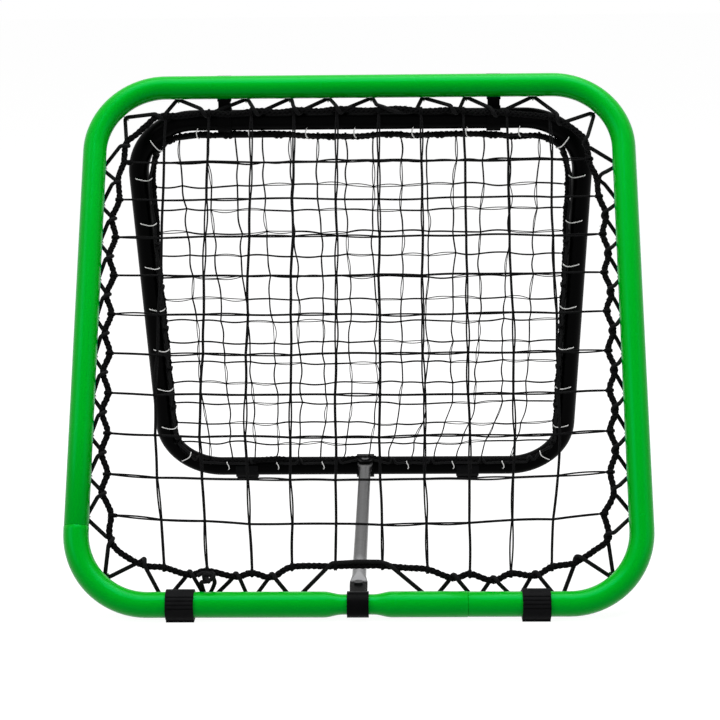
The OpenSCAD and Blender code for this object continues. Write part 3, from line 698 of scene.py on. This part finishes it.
# The border ropes wave between the string ends and the elastic's loops.
# Along the bars a point is [x, distance in], round the corners it is (x, z)
ropeLines = {
    "frontBottom": [[-231.2, 42.6], [-215.6, 41.7], [-187.2, 33.3], [-167.6, 37.7],
                    [-135.8, 30.9], [-117.5, 35.3], [-95.8, 30.2], [-73.2, 41.9], [-30, 42.6],
                    [0, 43.2], [26, 43], [52, 40.5], [77, 38.6], [105.4, 28.7], [123.9, 33.5],
                    [149.1, 25.8], [169.2, 33.9], [195.6, 31.3], [214.6, 41], [236.8, 44.3]],
    "frontTop": [[226.9, 42.5], [212, 40.5], [163.7, 35.7], [140, 35.8], [115.8, 31.9],
                 [78, 33.5], [48, 30], [8, 32], [-22.4, 29.6], [-48, 32.4], [-72.9, 30.6],
                 [-97, 33.4], [-122, 31.4], [-152, 35.2], [-183.7, 33.5], [-212, 37],
                 [-229.5, 36.5]],
    "rearBottom": [[-212, 15.4], [-188, 16], [-161, 15.5], [-146, 18.2], [-128, 20],
                   [-110, 19.2], [-91, 15.2], [-64, 15], [-38, 16], [-20, 19.8], [0, 20.4],
                   [17, 19.4], [38, 15], [64, 15], [91, 15], [121, 16], [161, 15], [188, 15.4],
                   [208, 15]],
    "rearTop": [[214, 21.4], [188, 22.4], [163, 19], [131, 18.4], [98, 18.5], [66, 20],
                [36, 17.6], [0, 20.6], [-34, 20], [-64, 19.6], [-98, 16.2], [-131, 16.4],
                [-160, 15.6], [-178, 18], [-190, 16.2], [-212, 18.4]],
}
ropeCorners = {
    "front": [[(245.8, 48.7), (261.7, 58.8), (276.6, 69.6), (279, 78), (276.4, 91.4),
               (274.6, 101), (283, 115), (286.4, 127.8)],
              [(281.8, 505.5), (274.8, 523.5), (273, 539), (270, 554.6), (259.7, 566.4),
               (248.1, 575.6), (236.4, 582.2)],
              [(-243.9, 588.5), (-255.6, 577.5), (-267.2, 565.8), (-277.7, 557),
               (-279.6, 546.3), (-280.6, 528.2), (-286, 510.2)],
              [(-289.4, 129), (-283.6, 117.4), (-277.8, 104.8), (-277.2, 95.7), (-278.4, 84.3),
               (-276, 71.4), (-268, 61), (-256.7, 53.1), (-243, 46)]],
    "rear": [[(231, 19.6), (249, 31.6), (258.8, 50), (260.4, 66)],
             [(252.2, 492), (248.4, 503), (242.6, 511), (232, 517.3)],
             [(-226.9, 521.5), (-238.3, 517.2), (-247.2, 508.5), (-252, 494)],
             [(-259.9, 76), (-258.2, 59), (-251.2, 38.8), (-236.6, 23.2)]],
}
ropeValues = {
    "strandRadius": 1.08,
    "strandCircle": 2.65,
    "core": 2.35,
    "pitch": 24.0,
    "strands": 4,
    "step": 2.6,
    "weave": 0.4,
    "wander": 0.4,
    "wanderScale": 0.09,
    "sideSeed": 5,
    "loopSpread": 0.7,
    "rearDrawn": {"most": 4.2, "above": 330, "run": 150},
    "sideSpan": (40, 590),
    "hairs": 520,
    "hairRadius": 0.13,
    "hairRoot": 2.9,
    "hairBend": 0.8,
    "hairLengths": (1.4, 3.8),
}


def sideRope(which):
    v, uneven, drawn = lacing[which], ropeValues["loopSpread"], ropeValues["rearDrawn"]
    chance = random.Random(ropeValues["sideSeed"])
    line = []
    for k in range(v["first"], v["last"] + 1):
        z = v["sideMiddle"] + (k - v["sideCount"]) * v["sidePitch"] / 2
        inward = v["wrapIn"] if k % 2 == 0 else v["loopIn"] + chance.uniform(-uneven, uneven)
        inward += sideBow(which, z)
        if which == "rear":
            # the rear rope's sides draw in towards the top
            inward += drawn["most"] * max(0.0, (z - drawn["above"]) / drawn["run"])
        line.append([z, inward])
    return line


def ropePoints(which):
    f = frames[which]
    cx, cz = f["halfWidth"], f["height"]
    side = sideRope(which)
    lowRight, highRight, highLeft, lowLeft = ropeCorners[which]
    points = [(x, d) for x, d in ropeLines[which + "Bottom"]] + lowRight
    points += [(cx - d, z) for z, d in side] + highRight
    points += [(x, cz - d) for x, d in ropeLines[which + "Top"]] + highLeft
    points += [(d - cx, z) for z, d in reversed(side)] + lowLeft
    return [Vector((x, hangBack(which, z), z)) for x, z in points]


def ropeStrands(which):
    v = ropeValues
    centre, total = smoothPath(ropePoints(which), v["step"], True)
    turns = round(total / v["pitch"])
    count = len(centre)
    paths = []
    for way in (1, -1):
        for strand in range(v["strands"]):
            path = []
            for i, place in enumerate(centre):
                ahead = (centre[(i + 1) % count] - centre[i - 1]).normalized()
                inward = ahead.cross(Vector((0, 1, 0)))
                spin = way * 2 * math.pi * turns * i / count
                angle = spin + 2 * math.pi * strand / v["strands"]
                # a strand rides over the ones that wind the other way, then dips under them
                weave = v["weave"] * math.sin(2 * spin + math.pi * (strand + (0 if way > 0 else 1)))
                c, q = polar(v["strandCircle"] + weave, angle)
                seat = place * v["wanderScale"] + Vector((strand, way * 5, 0))
                shake = noise.noise_vector(seat) * v["wander"]
                path.append(place + Vector((0, 1, 0)) * c + inward * q + shake)
            paths.append(path)
    return paths, centre


def ropeHairs(centre, seed):
    v = ropeValues
    chance = random.Random(seed)
    hairs = []
    for _ in range(v["hairs"]):
        place = chance.choice(centre)
        way = Vector([chance.uniform(-1, 1) for _ in range(3)]).normalized()
        start = place + way * v["hairRoot"]
        bend = Vector([chance.uniform(-1, 1) for _ in range(3)]) * v["hairBend"]
        length = chance.uniform(*v["hairLengths"])
        hairs.append([start, start + way * length * 0.5 + bend * 0.3,
                      start + way * length * 0.8 + bend * 1.6])
    return hairs


def makeRope(which, nodeName, seed):
    v, plane = ropeValues, planes[which]
    strands, centre = ropeStrands(which)
    rope = tubesFromPaths(which + "RopeStrands", strands, v["strandRadius"], 1, True, plane)
    core = tubesFromPaths(which + "RopeCore", [centre], v["core"], 1, True, plane)
    hairPaths = ropeHairs(centre, seed)
    hairs = tubesFromPaths(which + "RopeHairs", hairPaths, v["hairRadius"], 0, False, plane)
    whole = joinPieces([rope, core, hairs], which + "BorderRope")
    around = sum((b - a).length for a, b in zip(centre, centre[1:] + centre[:1]))
    print("  ", which, "rope", round(around), "mm")
    placePiece(whole, which + "_frame", nodeName, ropeFibre)


makeRope("front", "front_border_rope", 3)
makeRope("rear", "rear_border_rope", 4)
print("stage: border ropes")


def makeElastic(which, nodeName):
    path, total = tautPath(lacePath(which), elasticValues["rounding"], elasticValues["step"])
    radius = lacing[which]["cordRadius"]
    piece = tubesFromPaths(which + "Elastic", [path], radius, 2, False, planes[which])
    print("  ", which, "elastic", round(total), "mm")
    layer = piece.data.uv_layers.active
    if layer:
        for loop in layer.data:
            loop.uv[0] *= total * mm
    placePiece(piece, which + "_frame", nodeName, elasticSheath)


# Necks and crooks are points (distance in, distance behind, distance along)
hookValues = {
    "wire": {"front": 1.1, "rear": 0.8},
    "gap": 0.1,
    "step": 0.9,
    "firstAngle": 200,
    "cornerAngle": 150,
    "endAngle": -30,
    "angles": 12,
    "cornerNeck": [(2.0, 13.2, 0.0), (4.5, 15.4, 0.0), (8.5, 15.9, 0.0)],
    "barNeck": [(4.6, 10.6, 0.2), (4.8, 12.8, 0.3), (5.8, 14.4, 0.7)],
    "sideNeck": [(-2.6, 11.2, 0.0), (-2.2, 13.4, 0.1), (0.0, 14.2, 0.4), (4.0, 14.8, 1.2)],
    "crook": [(8.0, 15.3, 1.8), (11.5, 15.8, 1.7), (14.5, 15.9, 0.9), (16.6, 15.4, -0.4),
              (17.6, 14.0, -0.8), (17.2, 12.5, -0.8)],
}


def makeHooks(which, nodeName):
    v, h = lacing[which], hookValues
    side, wire = v["side"], h["wire"][which]
    paths = []
    for s in laceStations(which):
        if s[3] not in ("hook", "corner"):
            continue
        inward, behind = v["apex" if s[3] == "hook" else "cornerApex"]
        curl = v["cordRadius"] + wire + h["gap"]
        if which == "front":
            # an eye bent over the elastic, out of a hole in the back of the tube
            first = h["firstAngle"] if s[3] == "hook" else h["cornerAngle"]
            steps = h["angles"] - 1
            outline = list(h["cornerNeck"]) if s[3] == "corner" else []
            for k in range(h["angles"]):
                c, q = polar(curl, math.radians(first + k * (h["endAngle"] - first) / steps))
                outline.append((inward + c, behind + q, 0.0))
        else:
            # a crook that leaves the near face, dips along the tube and turns up at its tip
            onRight, onBar = math.cos(s[2]) < -0.5, abs(math.sin(s[2])) > 0.9
            outline = (h["barNeck"] if onBar else h["sideNeck"]) + h["crook"]
            outline = [(i, b, -a if onRight else a) for i, b, a in outline]
        path, _ = smoothPath([offStation(s, a, i, side * b) for i, b, a in outline], h["step"])
        paths.append(path)
    piece = tubesFromPaths(which + "Hooks", paths, wire, 2, False, planes[which])
    placePiece(piece, which + "_frame", nodeName, hookWire)


makeElastic("front", "front_elastic")
makeElastic("rear", "rear_elastic")
makeHooks("front", "front_hooks")
makeHooks("rear", "rear_hooks")
print("stage: elastics and hooks")


# The nets: every string is two strands that part and meet again between the knots
netValues = {
    "front": {"strings": 10, "pitchZ": 47.7, "middle": 315.4, "strand": 0.97, "part": 1.3,
              "partShare": 0.35, "knotShift": 1.2, "knot": 2.1, "sag": 0.7, "droop": 11.0,
              "seed": 21,
              "columns": [-232, -180, -129, -78, -26, 24.5, 75, 126, 178, 229],
              "bottomEnds": [-215.6, -167.6, -117.5, -73.2, -25, 27, 77, 123.9, 169.2, 214.6]},
    "rear": {"strings": 14, "pitchZ": 33.7, "middle": 270.0, "strand": 0.62, "part": 1.4,
             "partShare": 0.3, "knotShift": 2.4, "knot": 1.3, "sag": 2.2, "droop": 4.0,
             "seed": 22, "columns": [(k - 6.5) * 33.7 for k in range(14)],
             "bottomEnds": [-215, -184, -153, -123, -92, -62, -30, 5, 33, 63, 95, 126, 160, 200]},
}
stringValues = {
    "step": 4.5,
    "apart": 0.55,
    "partRange": (0.35, 1.0),
    "closeRange": (0, 0.12),
    "pullRows": 2.2,
    "pullPower": 1.5,
    "pullShare": 0.75,
    "droopRows": 3,
    "depthShift": 0.5,
    "sunk": 0.6,
    "knotShape": (1.25, 0.85, 0.95, 1),
    "knotSizes": (0.85, 1.1),
    "knotTurn": 3.1,
    "loopGap": 0.35,
    "loopOffset": 0.7,
    "loopSlip": 0.25,
    "loopPoints": 10,
    "loopStrand": 1.15,
}


def lookup(value, line):
    line = sorted(line)
    if value <= line[0][0]:
        return line[0][1]
    for (a, da), (b, db) in zip(line, line[1:]):
        if value <= b:
            return da + (db - da) * (value - a) / (b - a)
    return line[-1][1]


def ropeReach(which, z):
    # How far out the border rope runs at this height
    low, high = ropeValues["sideSpan"]
    right = [place for place in ropePoints(which) if place.x > 0 and low < place.z < high]
    return lookup(z, [[place.z, place.x] for place in right])


def stringStrands(points, across, n, chance):
    # Both strands share one bow in each bay; in some bays they spread apart
    v = stringValues
    apart = n["strand"] * v["apart"]
    bays = []
    for _ in points:
        spreads = chance.random() < n["partShare"]
        bays.append((n["part"] * chance.uniform(*v["partRange"]) if spreads
                     else chance.uniform(*v["closeRange"]), chance.uniform(-n["sag"], n["sag"])))
    made = []
    for way in (-1, 1):
        path = []
        for (a, b), (part, bow) in zip(zip(points, points[1:]), bays):
            steps = max(3, int((b - a).length / v["step"]))
            for m in range(steps):
                swell = math.sin(math.pi * m / steps)
                path.append(a.lerp(b, m / steps)
                            + across * (bow * swell + way * (apart + part * swell))
                            + Vector((0, way * apart, 0)))
        path.append(points[-1])
        made.append(path)
    return made


def netKnots(which, zs, chance):
    n, v = netValues[which], stringValues
    cx = frames[which]["halfWidth"]
    shift, deep = n["knotShift"], v["depthShift"]
    knots = []
    for startX, endX in zip(n["columns"], n["bottomEnds"]):
        column = []
        for j, level in enumerate(zs):
            # low down the columns follow their ends on the bottom rope
            pull = max(0.0, 1 - j / v["pullRows"]) ** v["pullPower"]
            x = startX + (endX - startX) * pull * v["pullShare"] + chance.uniform(-shift, shift)
            droop = n["droop"] * math.exp(-j / v["droopRows"]) * (1 - (x / cx) ** 2)
            z = level - droop + chance.uniform(-shift, shift)
            column.append(Vector((x, hangBack(which, z) + chance.uniform(-deep, deep), z)))
        knots.append(column)
    return knots


def netStrands(which, zs, knots, chance):
    # Columns run from the bottom rope to the top one, rows from side to side
    n, sunk = netValues[which], ropeRadius - stringValues["sunk"]
    cz = frames[which]["height"]
    bottom, top = ropeLines[which + "Bottom"], ropeLines[which + "Top"]
    strands = []
    for startX, endX, column in zip(n["columns"], n["bottomEnds"], knots):
        lowZ = lookup(endX, bottom) + sunk
        highZ = cz - lookup(startX, top) - sunk
        points = ([Vector((endX, hangBack(which, lowZ), lowZ))] + column
                  + [Vector((startX, hangBack(which, highZ), highZ))])
        strands += stringStrands(points, Vector((1, 0, 0)), n, chance)
    for j, z in enumerate(zs):
        reach = ropeReach(which, z) - sunk
        back = hangBack(which, z)
        points = ([Vector((-reach, back, z))] + [column[j] for column in knots]
                  + [Vector((reach, back, z))])
        strands += stringStrands(points, Vector((0, 0, 1)), n, chance)
    return strands


def endLoops(which, zs, chance):
    # Each string's end is tied round the border rope in two turns
    n, v = netValues[which], stringValues
    cz = frames[which]["height"]
    bottom, top = ropeLines[which + "Bottom"], ropeLines[which + "Top"]
    ends = [(x, lookup(x, bottom), True) for x in n["bottomEnds"]]
    ends += [(x, cz - lookup(x, top), True) for x in n["columns"]]
    ends += [(way * ropeReach(which, z), z, False) for z in zs for way in (-1, 1)]
    loops = []
    for x, z, onBar in ends:
        back = hangBack(which, z)
        for offset in (-v["loopOffset"], v["loopOffset"]):
            ring = []
            for k in range(v["loopPoints"]):
                c, q = polar(ropeRadius + v["loopGap"], 2 * math.pi * k / v["loopPoints"])
                slip = offset + chance.uniform(-v["loopSlip"], v["loopSlip"])
                across, up = (slip, c) if onBar else (c, slip)
                ring.append(Vector((x + across, back + q, z + up)))
            loops.append(ring)
    return loops


def makeNet(which, nodeName):
    n, v, plane = netValues[which], stringValues, planes[which]
    chance = random.Random(n["seed"])
    count = n["strings"]
    zs = [n["middle"] + (k - (count - 1) / 2) * n["pitchZ"] for k in range(count)]
    knots = netKnots(which, zs, chance)
    strands = netStrands(which, zs, knots, chance)
    net = tubesFromPaths(which + "Strings", strands, n["strand"], 1, False, plane)
    bm = bmesh.new()
    for column in knots:
        for knot in column:
            turn = Matrix.Rotation(chance.uniform(0, v["knotTurn"]), 4, "Y")
            place = Matrix.Translation(knot) @ turn @ Matrix.Diagonal(v["knotShape"])
            bmesh.ops.create_icosphere(bm, subdivisions=1, matrix=place,
                                       radius=n["knot"] * chance.uniform(*v["knotSizes"]))
    lumps = pieceFromBmesh(bm, which + "Knots", plane)
    loops = endLoops(which, zs, chance)
    thick = n["strand"] * v["loopStrand"]
    tied = tubesFromPaths(which + "EndLoops", loops, thick, 1, True, plane)
    whole = joinPieces([net, lumps, tied], which + "Net")
    placePiece(whole, which + "_frame", nodeName, twine)


makeNet("front", "front_net")
makeNet("rear", "rear_net")
print("stage: nets")


# Painted tubes
tubeValues = {
    "sides": 48,
    "bendSteps": 22,
    "seamX": 121.0,
    "seamZ": 88.0,
    "step": 0.35,
    "lip": 0.3,
    "waistRadius": 11.2,
    "waistHalf": 17.0,
    "waistRun": 21.0,
    "waistSteps": 12,
}
sideways = Matrix.Rotation(math.radians(90), 4, "Y")
# Where each cut end stands from its seam, how far its rounded lip runs back, its wall and
# how far its inside runs on out of sight; distances count along x or up the slope
cutEnds = {
    "mainStart": {"offset": 0.2, "lipRun": 0.5, "wall": 1.2, "hidden": -30.2},
    "mainEnd": {"offset": 0.5, "lipRun": -0.4, "wall": 1.4, "hidden": 30},
    "lowerStart": {"offset": -0.1, "lipRun": -0.4, "wall": 1.6, "hidden": 26.1},
    "lowerEnd": {"offset": -0.5, "lipRun": 0.4, "wall": 1.5, "hidden": -24},
}


def straightTo(bm, ring, start, end, sides=1):
    step = (Vector(end) - Vector(start)) / sides
    for _ in range(sides):
        ring = extrudeRing(bm, ring, Matrix.Translation(step))
    return ring


def bendRound(bm, ring, centre):
    steps = tubeValues["bendSteps"]
    turn = about(centre, Matrix.Rotation(math.radians(-90) / steps, 4, "Y"))
    for _ in range(steps):
        ring = extrudeRing(bm, ring, turn)
    return ring


def upAndOver(bm, ring, f, end):
    # From the bottom bar's right end up the right side, over the top and down the left
    cx, cz, bend = f["halfWidth"], f["height"], f["bend"]
    inx, topZ = cx - bend, cz - bend
    ring = bendRound(bm, ring, (inx, 0, bend))
    ring = straightTo(bm, ring, (cx, 0, bend), (cx, 0, topZ), 4)
    ring = bendRound(bm, ring, (inx, 0, topZ))
    ring = straightTo(bm, ring, (inx, 0, cz), (-inx, 0, cz), 4)
    ring = bendRound(bm, ring, (-inx, 0, topZ))
    return straightTo(bm, ring, (-cx, 0, topZ), end, 4)


def resize(bm, ring, centre, factor, slide=(0, 0, 0)):
    grow = about(centre, Matrix.Scale(factor, 4))
    return extrudeRing(bm, ring, Matrix.Translation(slide) @ grow)


def startCut(bm, place, along, turn, radius, cut):
    # Out of the joint's inside, over the lip of the cut end
    inside, lip = place + along * cut["hidden"], radius - tubeValues["lip"]
    bore = radius - cut["wall"]
    ring = ringAt(bm, bore, tubeValues["sides"], Matrix.Translation(inside) @ turn)
    ring = straightTo(bm, ring, inside, place)
    ring = resize(bm, ring, place, lip / bore)
    return resize(bm, ring, place, radius / lip, along * cut["lipRun"])


def endCut(bm, ring, place, along, radius, cut):
    # Over the lip of the cut end and on into the joint
    lip = radius - tubeValues["lip"]
    ring = resize(bm, ring, place, lip / radius, along * cut["lipRun"])
    ring = resize(bm, ring, place, (radius - cut["wall"]) / lip)
    straightTo(bm, ring, place, place + along * cut["hidden"])


def makeFrontTubes():
    f, t = frames["front"], tubeValues
    cx, bend, r = f["halfWidth"], f["bend"], f["tubeRadius"]
    inx = cx - bend
    across, up = Vector((1, 0, 0)), Vector((0, 0, 1))
    barSeam, sideSeam = Vector((t["seamX"], 0, 0)), Vector((-cx, 0, t["seamZ"]))
    small = r - t["step"]
    first, last = cutEnds["mainStart"], cutEnds["mainEnd"]
    bm = bmesh.new()
    ring = startCut(bm, barSeam + across * first["offset"], across, sideways, small, first)
    start = barSeam + across * (first["offset"] + first["lipRun"])
    ring = straightTo(bm, ring, start, (inx, 0, 0), 3)
    end = sideSeam + up * last["offset"]
    ring = upAndOver(bm, ring, f, end)
    endCut(bm, ring, end, up, small, last)
    piece = pieceFromBmesh(bm, "frontMainTube", frontPlane)
    placePiece(piece, "front_frame", "front_main_tube", greenPaint)

    first, last = cutEnds["lowerStart"], cutEnds["lowerEnd"]
    bm = bmesh.new()
    ring = startCut(bm, sideSeam + up * first["offset"], up, Matrix(), r, first)
    start = sideSeam + up * (first["offset"] + first["lipRun"])
    ring = straightTo(bm, ring, start, (-cx, 0, bend))
    ring = bendRound(bm, ring, (-inx, 0, bend))
    ring = straightTo(bm, ring, (-inx, 0, 0), (-t["waistHalf"] - t["waistRun"], 0, 0), 3)
    ring = waistSlope(bm, ring, -1)
    ring = straightTo(bm, ring, (-t["waistHalf"], 0, 0), (t["waistHalf"], 0, 0), 2)
    ring = waistSlope(bm, ring, 1)
    end = barSeam + across * last["offset"]
    ring = straightTo(bm, ring, (t["waistHalf"] + t["waistRun"], 0, 0), end, 2)
    endCut(bm, ring, end, across, r, last)
    piece = pieceFromBmesh(bm, "frontLowerTube", frontPlane)
    placePiece(piece, "front_frame", "front_lower_tube", greenPaint)


def waistSlope(bm, ring, way):
    # The swaged waist eases in and out along a cosine
    t, r = tubeValues, frames["front"]["tubeRadius"]
    steps = t["waistSteps"]
    radii = [t["waistRadius"] + (r - t["waistRadius"]) * (0.5 + 0.5 * math.cos(math.pi * k / steps))
             for k in range(steps + 1)]
    if way > 0:
        radii.reverse()
    x = (-t["waistHalf"] - t["waistRun"]) if way < 0 else t["waistHalf"]
    for a, b in zip(radii, radii[1:]):
        ring = resize(bm, ring, (x, 0, 0), b / a, (t["waistRun"] / steps, 0, 0))
        x += t["waistRun"] / steps
    return ring


def makeRearTube():
    # One closed ring of tube
    f = frames["rear"]
    cx, bend = f["halfWidth"], f["bend"]
    inx = cx - bend
    bm = bmesh.new()
    ring = ringAt(bm, f["tubeRadius"], tubeValues["sides"],
                  Matrix.Translation((-inx, 0, 0)) @ sideways)
    ring = straightTo(bm, ring, (-inx, 0, 0), (inx, 0, 0), 4)
    ring = upAndOver(bm, ring, f, (-cx, 0, bend))
    bendRound(bm, ring, (-inx, 0, bend))
    bmesh.ops.remove_doubles(bm, verts=bm.verts[:], dist=0.01)
    piece = pieceFromBmesh(bm, "rearTube", rearPlane)
    placePiece(piece, "rear_frame", "rear_tube", blackPaint)


makeFrontTubes()
makeRearTube()
print("stage: tubes")

for nodeName, material in (("front_foot_left", footRubber), ("front_foot_right", footRubber),
                           ("rear_foot_left", footRubber), ("rear_foot_right", footRubber),
                           ("stay_socket", blackPlastic), ("stay_pivot_collar", blackPlastic),
                           ("stay_peg", darkScrew), ("stay_rivet", darkScrew),
                           ("hinge_screws", darkScrew), ("hinge_bracket_left", bracketBlack),
                           ("hinge_bracket_right", bracketBlack), ("stay_tube", staySteel)):
    mesh = nodes[nodeName].data
    mesh.materials.clear()
    mesh.materials.append(material)

print("stage: carried-over parts")
